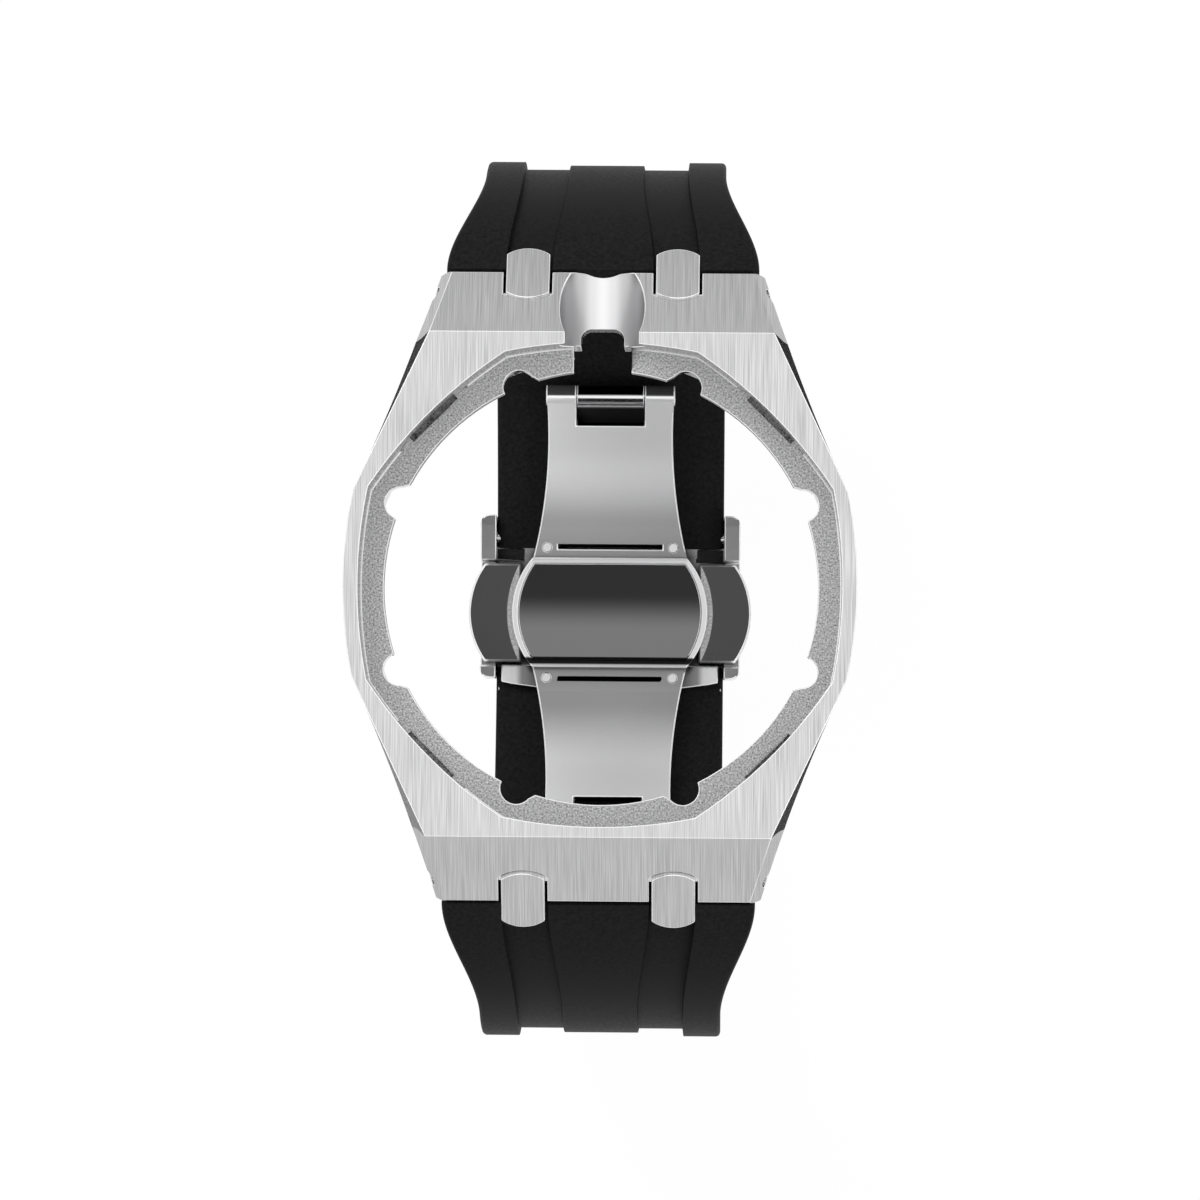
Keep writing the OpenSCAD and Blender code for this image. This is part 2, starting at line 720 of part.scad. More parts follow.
case_body();
lug_screw_upper_left();
lug_screw_upper_right();
lug_screw_lower_left();
lug_screw_lower_right();
link_upper_left();
link_upper_right();
link_lower_left();
link_lower_right();
link_bar_upper();
link_bar_lower();
strap_upper();
strap_lower();
cover_upper();
cover_lower();
end_bracket_lower();
catch_plate_upper();
catch_plate_lower();
strap_pin_upper();
strap_pin_lower();
blade_upper();
blade_lower();
clasp_base();
hinge_pin_upper();
hinge_pin_lower();
bridge();
bridge_plate();
root_pin_upper_left();
root_pin_upper_right();
root_pin_lower_left();
root_pin_lower_right();
button_left();
button_right();
button_spring_left();
button_spring_right();
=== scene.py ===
# %% [markdown]
# A steel watch case without its movement, on a black rubber strap that is shut by a steel
# butterfly clasp. The solids come from the CAD frame. This script dresses them: it rounds the
# steel edges, grows the moulded rubber as new surfaces, and lights the whole as a product shot.

# %% load the frame
import math

import bmesh
import bpy
import numpy as np
from mathutils import Matrix, Vector


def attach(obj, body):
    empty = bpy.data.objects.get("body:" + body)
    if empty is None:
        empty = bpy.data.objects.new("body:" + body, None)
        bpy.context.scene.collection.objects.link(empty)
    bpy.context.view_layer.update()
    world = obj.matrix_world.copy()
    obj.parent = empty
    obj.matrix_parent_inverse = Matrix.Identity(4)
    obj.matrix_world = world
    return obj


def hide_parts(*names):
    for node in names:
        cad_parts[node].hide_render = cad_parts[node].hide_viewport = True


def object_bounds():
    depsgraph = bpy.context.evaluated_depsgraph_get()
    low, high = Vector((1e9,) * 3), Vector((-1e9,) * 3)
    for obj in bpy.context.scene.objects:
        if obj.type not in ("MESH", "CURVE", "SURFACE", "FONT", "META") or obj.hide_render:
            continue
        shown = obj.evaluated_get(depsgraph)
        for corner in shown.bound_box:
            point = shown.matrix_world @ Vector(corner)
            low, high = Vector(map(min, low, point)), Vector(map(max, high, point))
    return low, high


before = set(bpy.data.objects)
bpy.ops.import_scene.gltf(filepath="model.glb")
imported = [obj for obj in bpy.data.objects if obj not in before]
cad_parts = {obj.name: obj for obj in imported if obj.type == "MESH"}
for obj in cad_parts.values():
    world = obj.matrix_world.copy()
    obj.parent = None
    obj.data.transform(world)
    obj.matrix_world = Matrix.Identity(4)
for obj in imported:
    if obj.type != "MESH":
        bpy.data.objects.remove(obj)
cad_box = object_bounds()

# %% [markdown]
# The sizes that the new surfaces share with the CAD, in millimetres. The lug face slopes down
# from a crease; the strap leaves the tip of the lug along that slope and runs through three
# arcs to the clasp.

# %% shared sizes
MM = 0.001
LUG_SLOPE = math.radians(38)
FRONT_Z, CREASE_Y, TIP_Y = 6.5, 22.54, 28.2
TIP_Z = FRONT_Z - (TIP_Y - CREASE_Y) * math.tan(LUG_SLOPE)
HINGE_BACK, HINGE_DOWN = 1.5, 1.8
HINGE_Y = TIP_Y - HINGE_BACK * math.cos(LUG_SLOPE) - HINGE_DOWN * math.sin(LUG_SLOPE)
HINGE_Z = TIP_Z + HINGE_BACK * math.sin(LUG_SLOPE) - HINGE_DOWN * math.cos(LUG_SLOPE)
NOSE_GAP = 0.3  # between the nose of the lug and the hollow in the strap
NOSE_CLEAR = math.hypot(HINGE_BACK, HINGE_DOWN) + NOSE_GAP
LOOP_HALF, CLASP_R, JOIN = 40.5, 44.2, math.radians(140)
BEND_R = (LOOP_HALF - TIP_Y) / (1 - math.sin(LUG_SLOPE))
BEND_Z = TIP_Z - BEND_R * math.cos(LUG_SLOPE)
LOW_R = (LOOP_HALF - CLASP_R * math.sin(JOIN)) / (1 - math.sin(JOIN))
CLASP_Z = BEND_Z + (LOW_R - CLASP_R) * math.cos(JOIN)
GROOVE_R, GROOVE_Z = 3.8, FRONT_Z - 1.9
print(f"hinge at y {HINGE_Y:.2f}, z {HINGE_Z:.2f}; clasp centre at z {CLASP_Z:.2f}")

# %% [markdown]
# The camera stands about 700 mm over the front plane, a little towards six and three o'clock,
# so that the deeper parts shift down and to the right in the picture. A long lens gives the
# flat look of a product photograph.

# %% camera
DISTANCE, FRAME_W, SENSOR_W = 700.0, 106.9, 36
TO_SIX, TO_THREE = math.radians(2.5), math.radians(0.93)
PICTURE_ROLL = math.radians(0.45)  # the object stands turned clockwise by this in the picture
target = Vector((0.03, -1.40, FRONT_Z)) * MM
back = Vector((math.tan(TO_THREE), -math.tan(TO_SIX), 1)).normalized()
cam = bpy.data.objects.new("camera", bpy.data.cameras.new("camera"))
bpy.context.scene.collection.objects.link(cam)
cam.data.sensor_width = SENSOR_W
cam.data.lens = SENSOR_W * DISTANCE / FRAME_W
cam.location = target + back * DISTANCE * MM
right = Vector((0, 1, 0)).cross(back).normalized()
look = Matrix((right, back.cross(right), back)).transposed()
cam.rotation_mode = "QUATERNION"
cam.rotation_quaternion = (look @ Matrix.Rotation(PICTURE_ROLL, 3, "Z")).to_quaternion()
cam.data.clip_start, cam.data.clip_end = 0.05, 10
bpy.context.scene.camera = cam
print(f"lens {cam.data.lens:.0f} mm")

# %% [markdown]
# The photograph's ground is pure white. More light would give that too, but it would wash out
# the steel. So the world and the floor are white only to the camera and in reflections, and
# mildly bright as light: the Light Path node tells the two kinds of ray apart.

# %% telling rays apart
def math_node(nt, operation, first, second=0.0, clamp=False):
    """One step of arithmetic; each side is a plain number or the output of another node."""
    node = nt.nodes.new("ShaderNodeMath")
    node.operation, node.use_clamp = operation, clamp
    for socket, value in zip(node.inputs, (first, second)):
        if isinstance(value, (int, float)):
            socket.default_value = value
        else:
            nt.links.new(value, socket)
    return node.outputs[0]


def seen_directly(nt):
    """1 for camera, glossy and transmission rays, and 0 for all others."""
    path = nt.nodes.new("ShaderNodeLightPath")
    total = path.outputs["Is Camera Ray"]
    for ray in ("Is Glossy Ray", "Is Transmission Ray"):
        total = math_node(nt, "ADD", total, path.outputs[ray], clamp=True)
    return total


def join_shaders(nt, share, first, second, output):
    """Mixes two shaders by a share of the second and sends them to the tree's output."""
    out = nt.nodes.new(output)
    mix = nt.nodes.new("ShaderNodeMixShader")
    nt.links.new(share, mix.inputs[0])
    nt.links.new(first.outputs[0], mix.inputs[1])
    nt.links.new(second.outputs[0], mix.inputs[2])
    nt.links.new(mix.outputs[0], out.inputs["Surface"])


# %% world
WORLD_LIGHT, WORLD_SEEN = 0.55, 1.0  # strength as light, and as a background
scene = bpy.context.scene
scene.view_settings.view_transform = "Standard"


def white_background(nt, strength):
    """A white background shader of the given strength."""
    shader = nt.nodes.new("ShaderNodeBackground")
    shader.inputs["Color"].default_value = (1, 1, 1, 1)
    shader.inputs["Strength"].default_value = strength
    return shader


world = bpy.data.worlds.new("studio")
scene.world = world
world.use_nodes = True
nt = world.node_tree
nt.nodes.clear()
join_shaders(nt, seen_directly(nt), white_background(nt, WORLD_LIGHT),
             white_background(nt, WORLD_SEEN), "ShaderNodeOutputWorld")
print("world light", WORLD_LIGHT)

# %% [markdown]
# Two large soft boxes model the forms without hard shadows: a key from the upper left and a
# weaker fill from the lower right. They are kept out of reflections, because the steel mirrors
# the white world and the dark flags.

# %% lamps
def area_lamp(name, spot, aim, size, power):
    """A square soft box at spot, turned towards aim; sizes in metres, power in watts."""
    lamp = bpy.data.lights.new(name, "AREA")
    lamp.shape, lamp.size, lamp.energy = "SQUARE", size, power
    obj = bpy.data.objects.new(name, lamp)
    scene.collection.objects.link(obj)
    obj.location = spot
    obj.rotation_mode = "QUATERNION"
    obj.rotation_quaternion = (Vector(aim) - Vector(spot)).to_track_quat("-Z", "Y")
    obj.visible_glossy = False


area_lamp("key", (-0.25, 0.35, 0.55), (0, 0, 0), 0.35, 5.0)
area_lamp("fill", (0.45, -0.25, 0.40), (0, 0, 0), 0.40, 2.5)

# %% [markdown]
# The floor is a wide white sheet. It lies a little under the clasp, because the clasp's covers
# swing 5 mm lower as it opens. Its edge is far outside the view.

# %% floor
OPEN_DROP = 0.0055  # room below the shut clasp, in metres
FLOOR_HALF = 1.5  # half width of the sheet, in metres
FLOOR_WHITE = 0.96  # share of plain white; the rest is a matt surface that takes the shadow
floor_z = float(cad_box[0][2]) - OPEN_DROP
mesh = bpy.data.meshes.new("floor")
mesh.from_pydata([(x * FLOOR_HALF, y * FLOOR_HALF, floor_z)
                  for x, y in ((-1, -1), (1, -1), (1, 1), (-1, 1))], [], [(0, 1, 2, 3)])
floor = bpy.data.objects.new("floor", mesh)
scene.collection.objects.link(floor)
white = bpy.data.materials.new("floor_white")
white.use_nodes = True
nt = white.node_tree
nt.nodes.clear()
matt = nt.nodes.new("ShaderNodeBsdfDiffuse")
matt.inputs["Color"].default_value = (0.86, 0.86, 0.86, 1)
glow = nt.nodes.new("ShaderNodeEmission")
glow.inputs["Strength"].default_value = 1.0
join_shaders(nt, math_node(nt, "MULTIPLY", seen_directly(nt), FLOOR_WHITE), matt, glow,
             "ShaderNodeOutputMaterial")
floor.data.materials.append(white)
print("floor at z", round(floor_z, 4))

# %% [markdown]
# Low dark flags stand round the object, as in a studio: the steep polished facets mirror them
# and stay dark, while the faces that look up mirror the white. Dark paint on those facets would
# stay dark from every side; a flag darkens them only where a real one would.

# %% plain material
def new_material(name, **sockets):
    """A Principled material with plain values on its own sockets."""
    made = bpy.data.materials.new(name)
    made.use_nodes = True
    shader = made.node_tree.nodes["Principled BSDF"]
    for key, value in sockets.items():
        shader.inputs[key.replace("_", " ")].default_value = value
    return made, made.node_tree, shader


# %% dark flags
FLAG_TOP = 0.012  # height of the flags' upper edge, in metres
FLAG_BEARINGS = 33


def flag(name, radius, start, end, grey):
    """A low curved wall round the object from one bearing to another, seen in reflections only.

    Points of the wall: (r cos b, r sin b, floor) and (r cos b, r sin b, top), with the bearing b
    in even steps from start to end, in degrees anticlockwise from +X.
    """
    b = np.radians(np.linspace(start, end, FLAG_BEARINGS))
    ring = np.stack([radius * np.cos(b), radius * np.sin(b), 0 * b + floor_z], axis=-1)
    points = np.concatenate([ring, ring + np.array([0, 0, FLAG_TOP - floor_z])])
    i = np.arange(len(b) - 1)
    quads = np.stack([i, i + 1, i + 1 + len(b), i + len(b)], axis=-1)
    mesh = bpy.data.meshes.new(name)
    mesh.from_pydata(points.tolist(), [], quads.tolist())
    mesh.materials.append(new_material(name, Roughness=1.0, Specular_IOR_Level=0.0,
                                       Base_Color=(grey, grey, grey, 1))[0])
    obj = bpy.data.objects.new(name, mesh)
    scene.collection.objects.link(obj)
    obj.visible_camera = obj.visible_diffuse = obj.visible_shadow = False
    print(f"{name}: {len(quads)} faces, grey {grey}")


flag("flag_upper", 0.20, -15, 195, 0.03)
flag("flag_lower_right", 0.22, 285, 345, 0.05)
flag("flag_lower_left", 0.22, 195, 255, 0.3)

# %% [markdown]
# The front plane, the lug faces and the links are brushed: a fine belt leaves long scratches in
# one direction. An image or an anisotropic shader could show them. A noise on Object
# coordinates, squeezed hard across the strokes, needs no image and stays on its piece in every
# pose.

# %% noise on a piece
NOISE_SPAN = (0.3, 0.7)  # most of a noise lies between these
GREY_TINT = 1.01  # a stepped or grainy grey is this much stronger in blue


def noise_on_object(nt, scale, stretch=(1, 1, 1), detail=2.0):
    """Noise that is sampled in object space, squeezed along each axis by stretch."""
    coord = nt.nodes.new("ShaderNodeTexCoord")
    squeeze = nt.nodes.new("ShaderNodeMapping")
    squeeze.inputs["Scale"].default_value = stretch
    noise = nt.nodes.new("ShaderNodeTexNoise")
    noise.inputs["Scale"].default_value = scale
    noise.inputs["Detail"].default_value = detail
    nt.links.new(coord.outputs["Object"], squeeze.inputs["Vector"])
    nt.links.new(squeeze.outputs["Vector"], noise.inputs["Vector"])
    return noise.outputs["Fac"]


def range_node(nt, value, source, target=(0.0, 1.0)):
    """Carries a value from one range into another, held at the ends."""
    node = nt.nodes.new("ShaderNodeMapRange")
    node.inputs["From Min"].default_value, node.inputs["From Max"].default_value = source
    node.inputs["To Min"].default_value, node.inputs["To Max"].default_value = target
    nt.links.new(value, node.inputs["Value"])
    return node.outputs["Result"]


def grey_steps(nt, value, shader, steps, passage="EASE"):
    """Colours a surface by a 0 to 1 value through (place, grey) steps."""
    ramp = nt.nodes.new("ShaderNodeValToRGB")
    ramp.color_ramp.interpolation = passage
    stops = ramp.color_ramp.elements
    while len(stops) < len(steps):
        stops.new(0.5)
    for stop, (place, grey) in zip(stops, steps):
        stop.position, stop.color = place, (grey, grey, grey * GREY_TINT, 1)
    nt.links.new(value, ramp.inputs["Fac"])
    nt.links.new(ramp.outputs["Color"], shader.inputs["Base Color"])


def grey_noise(nt, noise, shader, low, high):
    """Colours a surface between two greys by a noise."""
    grey_steps(nt, noise, shader, tuple(zip(NOISE_SPAN, (low, high))), "LINEAR")


def rough_noise(nt, noise, shader, low, high):
    """Makes a surface more and less rough by a noise."""
    nt.links.new(range_node(nt, noise, NOISE_SPAN, (low, high)), shader.inputs["Roughness"])


def bump(nt, noise, shader, strength, distance):
    """Fine relief from a noise; distance in metres."""
    relief = nt.nodes.new("ShaderNodeBump")
    relief.inputs["Strength"].default_value = strength
    relief.inputs["Distance"].default_value = distance
    nt.links.new(noise, relief.inputs["Height"])
    nt.links.new(relief.outputs["Normal"], shader.inputs["Normal"])


# %% brushed steel
STROKES = (22.0, 0.18, 0.18)  # squeeze of the noise along each axis: fine across X, long along Y


def brushed_steel(name, low, high):
    """Steel with fine scratches along Y, between two greys."""
    made, nt, shader = new_material(name, Metallic=0.8)
    lines = noise_on_object(nt, 1000.0, STROKES, 1.0)
    grey_noise(nt, lines, shader, low, high)
    rough_noise(nt, lines, shader, 0.32, 0.42)
    bump(nt, lines, shader, 0.2, 0.00002)
    return made


brushed_front = brushed_steel("steel_brushed_front", 0.44, 0.76)
# the same brushed steel in darker greys: a painted dark reflection on the sloping faces
brushed_slope_painted_reflection = brushed_steel("steel_brushed_slope_painted_reflection", 0.36, 0.58)
print("brushed:", brushed_front.name, brushed_slope_painted_reflection.name)

# %% [markdown]
# The ledge inside the case is blasted to a fine, even grain. The walls of the pusher windows
# lie in shade, and their grain is painted darker: painted shade. The same noise does it without a
# stretch; on the ledge it also feeds a Bump node, because a blasted face is seen by its many tiny
# pits.

# %% blasted steel
def grained_steel(name, roughness, scale, detail, low, high, relief=0.0):
    """Steel with an even fine grain, in relief where relief has a strength."""
    made, nt, shader = new_material(name, Metallic=0.8, Roughness=roughness)
    grain = noise_on_object(nt, scale, detail=detail)
    grey_noise(nt, grain, shader, low, high)
    if relief:
        bump(nt, grain, shader, relief, 0.00004)
    return made


blasted = grained_steel("steel_blasted", 0.5, 6000.0, 2.0, 0.22, 0.70, relief=0.6)
# painted shade: the window walls get the grain in darker greys
window_painted_shade = grained_steel("steel_window_painted_shade", 0.6, 4200.0, 1.0, 0.10, 0.40)
print("grained:", blasted.name, window_painted_shade.name)

# %% [markdown]
# Walls, pins and screws are polished, and plain values are enough for that: the world and the
# flags give a polished face its shades. The clasp's covers are the same mirror painted darker, a
# painted dark reflection. The rounded edges get a paler and rougher steel, a painted highlight
# that shows as the bright line of a real edge.

# %% polished steel and edges
def plain_steel(name, grey, blue, metallic, roughness):
    """Steel of one grey, with its own value for blue."""
    return new_material(name, Metallic=metallic, Roughness=roughness,
                        Base_Color=(grey, grey, blue, 1))[0]


polished = plain_steel("steel_polished", 0.66, 0.665, 1.0, 0.14)
# painted dark reflection on the covers: the polished mirror in a darker grey
polished_painted_reflection = plain_steel("steel_polished_painted_reflection", 0.24, 0.242, 1.0, 0.2)
# painted highlight: the rounds' steel is paler than the polished steel, so they show as a bright
# line
edge = plain_steel("steel_edge_painted_highlight", 0.86, 0.86, 0.5, 0.3)
print("polished:", polished.name, polished_painted_reflection.name, edge.name)

# %% [markdown]
# The half-round groove at twelve o'clock is smooth. It carries a painted reflection: white at its
# bottom, as its grey follows the distance from the middle. The flat facets of the CAD would show
# in it as stripes. More facets would cost faces; instead the shader gets the normal of the true
# cylinder.

# %% places on a piece
def object_axis(nt, axis):
    """One object coordinate, in metres."""
    coord = nt.nodes.new("ShaderNodeTexCoord")
    split = nt.nodes.new("ShaderNodeSeparateXYZ")
    nt.links.new(coord.outputs["Object"], split.inputs[0])
    return split.outputs[axis]


def distance_from_middle(nt, axis, reach):
    """How far a point is from the middle along one axis, as a share of reach in metres."""
    size = math_node(nt, "ABSOLUTE", object_axis(nt, axis))
    return math_node(nt, "DIVIDE", size, reach, clamp=True)


# %% groove
# The axis of the cylinder runs along Y, so its normal is (-x, 0, height of the axis - z).
groove, nt, shader = new_material("steel_groove_painted_reflection", Metallic=1.0, Roughness=0.35)
# painted reflection: white in the middle of the groove, darker towards its sides
grey_steps(nt, distance_from_middle(nt, "X", GROOVE_R * MM), shader,
           ((0.0, 0.98), (0.25, 0.85), (0.50, 0.64), (0.80, 0.54), (0.95, 0.46)))
inward = nt.nodes.new("ShaderNodeCombineXYZ")
nt.links.new(math_node(nt, "MULTIPLY", object_axis(nt, "X"), -1.0), inward.inputs["X"])
nt.links.new(math_node(nt, "SUBTRACT", GROOVE_Z * MM, object_axis(nt, "Z")), inward.inputs["Z"])
to_world = nt.nodes.new("ShaderNodeVectorTransform")
to_world.vector_type, to_world.convert_from, to_world.convert_to = "NORMAL", "OBJECT", "WORLD"
nt.links.new(inward.outputs[0], to_world.inputs[0])
nt.links.new(to_world.outputs[0], shader.inputs["Normal"])
print("groove:", groove.name)

# %% [markdown]
# The clasp's smooth steel is gently curved along the strap, so its mirror images turn into
# bands of grey along one axis. Those bands are painted reflections: a few soft steps over an
# object coordinate paint them into the grey, with plain metal as the shader: simpler than a copy
# of the whole studio, and the same from every side.

# %% stepped steel
ARM_REACH = 0.022  # half length of the clasp base along the strap, in metres
KNUCKLE_REACH = 0.025  # half length of the clasp with its hinges, in metres
BRACKET_HALF = 0.0105  # half width of the arched end bracket, in metres


def stepped_steel(name, metallic, roughness, measure, steps):
    """Steel whose grey follows steps along a measure; measure takes the node tree."""
    made, nt, shader = new_material(name, Metallic=metallic, Roughness=roughness)
    grey_steps(nt, measure(nt), shader, steps)
    return made


# painted reflection on the clasp base: darker in the middle, bright towards both ends, black at
# the very ends
satin_painted_reflection = stepped_steel(
    "steel_satin_painted_reflection", 0.6, 0.22, lambda nt: distance_from_middle(nt, "Y", ARM_REACH),
    ((0.27, 0.24), (0.38, 0.29), (0.67, 0.92), (0.935, 1.0), (0.942, 0.07)))
# the knuckle of the upper blade gets a painted reflection: a bright band between two dark ones
blade_painted_reflection = stepped_steel(
    "steel_blade_painted_reflection", 1.0, 0.14, lambda nt: distance_from_middle(nt, "Y", KNUCKLE_REACH),
    ((0.700, 0.66), (0.730, 0.03), (0.783, 0.04), (0.790, 0.80), (0.824, 0.90), (0.832, 0.03)))
# painted reflection on the end bracket: dark in the middle, bright towards both ends
bracket_painted_reflection = stepped_steel(
    "steel_bracket_painted_reflection", 1.0, 0.2, lambda nt: distance_from_middle(nt, "X", BRACKET_HALF),
    ((0.70, 0.12), (0.80, 0.20), (0.88, 0.60), (0.97, 0.66)))
print("stepped:", satin_painted_reflection.name, blade_painted_reflection.name, bracket_painted_reflection.name)

# %% [markdown]
# The centre plate is a mirror painted dark and lighter towards six o'clock, a painted reflection.
# The bulged plate round it is painted bright, with a black band of painted dark reflection below
# the centre plate. The rims that lie in that band are black too, and the other rims carry a
# painted highlight.

# %% centre plates
PLATE_HALF = 0.0045  # half length of the centre plate along the strap, in metres
BRIDGE_HALF = 0.0053  # half length of the bulged plate round it, in metres


def down_the_strap(nt, half):
    """0 to 1 along -Y from half to -half, in metres."""
    return range_node(nt, object_axis(nt, "Y"), (half, -half))


plate_painted_reflection = stepped_steel(
    "steel_plate_painted_reflection", 1.0, 0.16, lambda nt: down_the_strap(nt, PLATE_HALF),
    ((0.3, 0.03), (0.7, 0.19)))
plate_rim_painted_light = stepped_steel(
    "steel_plate_rim_painted_light", 0.5, 0.3, lambda nt: down_the_strap(nt, PLATE_HALF),
    ((0.940, 0.86), (0.965, 0.01)))
bridge_painted_reflection = stepped_steel(
    "steel_bridge_painted_reflection", 1.0, 0.14, lambda nt: down_the_strap(nt, BRIDGE_HALF),
    ((0.0, 0.45), (0.05, 0.66), (0.90, 0.66), (0.920, 0.01), (0.965, 0.01), (0.98, 0.45)))
bridge_rim_painted_light = stepped_steel(
    "steel_bridge_rim_painted_light", 0.5, 0.3, lambda nt: down_the_strap(nt, BRIDGE_HALF),
    ((0.905, 0.86), (0.920, 0.01), (0.965, 0.01), (0.980, 0.86)))
print("plates:", plate_painted_reflection.name, bridge_painted_reflection.name)

# %% [markdown]
# Each push button is a mirror painted dark, a painted reflection, with a frosted strip on its
# inner part. The strip ends on a circle about the middle of the clasp, so the distance from the Z
# axis tells the two apart, and the same share sets both grey and roughness. Only the outer arc of
# a button has a bright rim, a painted highlight.

# %% push buttons
BUTTON_HALF = 0.0137  # half width over both push buttons, in metres
FROST_R, FROST_SOFT = 0.00995, 0.00004  # radius of the circle, and half its passage, in metres
# the mirror's grey is painted dark, a painted reflection; the frost's grey is its own
WING_GREY, WING_ROUGH = (0.07, 0.95), (0.16, 0.45)  # for the mirror, and for full frost


def distance_from_axis(nt):
    """How far a point is from the object's Z axis, in metres."""
    flat = nt.nodes.new("ShaderNodeCombineXYZ")
    nt.links.new(object_axis(nt, "X"), flat.inputs["X"])
    nt.links.new(object_axis(nt, "Y"), flat.inputs["Y"])
    size = nt.nodes.new("ShaderNodeVectorMath")
    size.operation = "LENGTH"
    nt.links.new(flat.outputs[0], size.inputs[0])
    return size.outputs["Value"]


wing_painted_reflection, nt, shader = new_material("steel_wing_painted_reflection", Metallic=1.0)
frost = range_node(nt, distance_from_axis(nt), (FROST_R + FROST_SOFT, FROST_R - FROST_SOFT))
sparkle = math_node(nt, "MULTIPLY", noise_on_object(nt, 6000.0, detail=3.0), frost)
nt.links.new(range_node(nt, sparkle, (0.0, 1.0), WING_GREY), shader.inputs["Base Color"])
nt.links.new(range_node(nt, frost, (0.0, 1.0), WING_ROUGH), shader.inputs["Roughness"])
wing_rim_painted_highlight = stepped_steel(
    "steel_wing_rim_painted_highlight", 0.5, 0.3,
    lambda nt: math_node(nt, "DIVIDE", distance_from_axis(nt), BUTTON_HALF),
    ((0.915, 0.20), (0.945, 0.86)))
print("buttons:", wing_painted_reflection.name, wing_rim_painted_highlight.name)

# %% [markdown]
# The strap is moulded rubber: near black and matt, with a very fine grain from the mould. Rubber
# reflects little, so the specular level is low, and the grain varies grey, roughness and relief.

# %% rubber
rubber, nt, shader = new_material("rubber_black", Specular_IOR_Level=0.06)
grain = noise_on_object(nt, 3200.0, detail=3.0)
grey_noise(nt, grain, shader, 0.004, 0.011)
rough_noise(nt, grain, shader, 0.48, 0.62)
bump(nt, grain, shader, 0.25, 0.00003)
print("finishes:", [m.name for m in bpy.data.materials])

# %% [markdown]
# Machined steel never has a perfectly sharp edge: a fine line catches the light along each one.
# Each steel node is copied from the CAD, its flat faces are merged, and a narrow Bevel rounds
# every edge that turns by more than thirty degrees. The rounds take a rim steel with painted
# light, mostly a paler painted highlight. The copy then stands for the node.

# %% merging flat faces
WELD = 2e-6  # points closer than this are one, in metres
FLAT_TURN = math.radians(0.6)  # faces that turn by less than this are merged
ROUND_FROM, ROUND_ZERO, ROUND_FULL = 30, 20, 70  # turns of an edge, in degrees, see merged_copy
STUB = 0.2  # an edge shorter than this leaves no room for a round at a corner, in millimetres
STRAIGHT_ON = -0.87  # two edges run on through a corner where their cosine is under this


def keep_corners_sharp(work, share):
    """Takes the round off two edges that meet at a corner where one of them is a stub."""
    for corner in work.verts:
        lines = [e for e in corner.link_edges if e[share] > 0]
        for one in lines:
            if one.calc_length() > STUB * MM:
                continue
            along = (one.other_vert(corner).co - corner.co).normalized()
            for two in lines:
                away = (two.other_vert(corner).co - corner.co).normalized()
                if two != one and along.dot(away) > STRAIGHT_ON:
                    one[share] = two[share] = 0.0


def merged_copy(node):
    """A copy of a node's mesh with its flat faces merged and each edge's share of the round.

    An edge that turns by t degrees gets the share (t - 20) / 50 of the width, from 30 degrees
    up and at most 1, so that shallow edges show as thinner lines.
    """
    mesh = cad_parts[node].data.copy()
    mesh.name = node + "_dressed"
    mesh.materials.clear()
    work = bmesh.new()
    work.from_mesh(mesh)
    bmesh.ops.remove_doubles(work, verts=work.verts, dist=WELD)
    bmesh.ops.dissolve_limit(work, angle_limit=FLAT_TURN, verts=work.verts, edges=work.edges)
    share = work.edges.layers.float.new("bevel_weight_edge")
    for line in work.edges:
        turn = math.degrees(line.calc_face_angle(0.0))
        part = min((turn - ROUND_ZERO) / (ROUND_FULL - ROUND_ZERO), 1.0)
        line[share] = part if turn > ROUND_FROM else 0.0
    keep_corners_sharp(work, share)
    work.to_mesh(mesh)
    work.free()
    return mesh


# %% dressing a steel node
SHARP_TURN = math.radians(14)  # shading is smooth over edges that turn by less than this


def dress(node, body, width, finish, pick=None, rim=edge):
    """A copy of a CAD node with its edges rounded by width millimetres.

    finish lists the materials of the faces, and rim is the material of the rounded edges.
    pick, where given, takes arrays of face centres (mm) and normals and returns the
    number of each face's finish.
    """
    mesh = merged_copy(node)
    for material in finish + [rim]:
        mesh.materials.append(material)
    obj = bpy.data.objects.new(node + "_dressed", mesh)
    scene.collection.objects.link(obj)
    if pick:
        centre = np.empty(len(mesh.polygons) * 3)
        normal = np.empty(len(mesh.polygons) * 3)
        mesh.polygons.foreach_get("center", centre)
        mesh.polygons.foreach_get("normal", normal)
        chosen = pick(centre.reshape(-1, 3) / MM, normal.reshape(-1, 3))
        mesh.polygons.foreach_set("material_index", chosen.astype(np.int32))
    round_edges = obj.modifiers.new("edges", "BEVEL")
    round_edges.width = width * MM
    round_edges.use_clamp_overlap = False
    round_edges.segments = 2
    round_edges.material = len(finish)
    round_edges.limit_method = "WEIGHT"
    mesh.shade_smooth()
    mesh.set_sharp_from_angle(angle=SHARP_TURN)
    obj.modifiers.new("normals", "WEIGHTED_NORMAL").keep_sharp = True
    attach(obj, body)
    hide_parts(node)
    print(f"{obj.name}: {len(mesh.polygons)} faces")


# %% [markdown]
# The case is one solid with six steels: brushed, polished and blasted, and three that carry
# painted
# light: the brushed steel with a painted dark reflection on the lug faces and flanks, the groove
# with a painted reflection, and the grain of the window walls with painted shade. Painting its
# faces by hand would not survive a change
# of the CAD, so each face is told by where it lies and which way it looks. Where two rules fit
# a face, the later one holds.

# %% the case and its finishes
CASE_STEEL = [brushed_front, brushed_slope_painted_reflection, polished, blasted, groove, window_painted_shade]
FRONT, SLOPE, POLISHED, BLASTED, GROOVE, WINDOW = range(len(CASE_STEEL))
LEDGE_R = 19.7  # the blasted ledge lies inside this radius, in millimetres
WINDOW_RING = (19.8, 24)  # the pusher windows lie between these radii
GROOVE_FROM_Y = 18


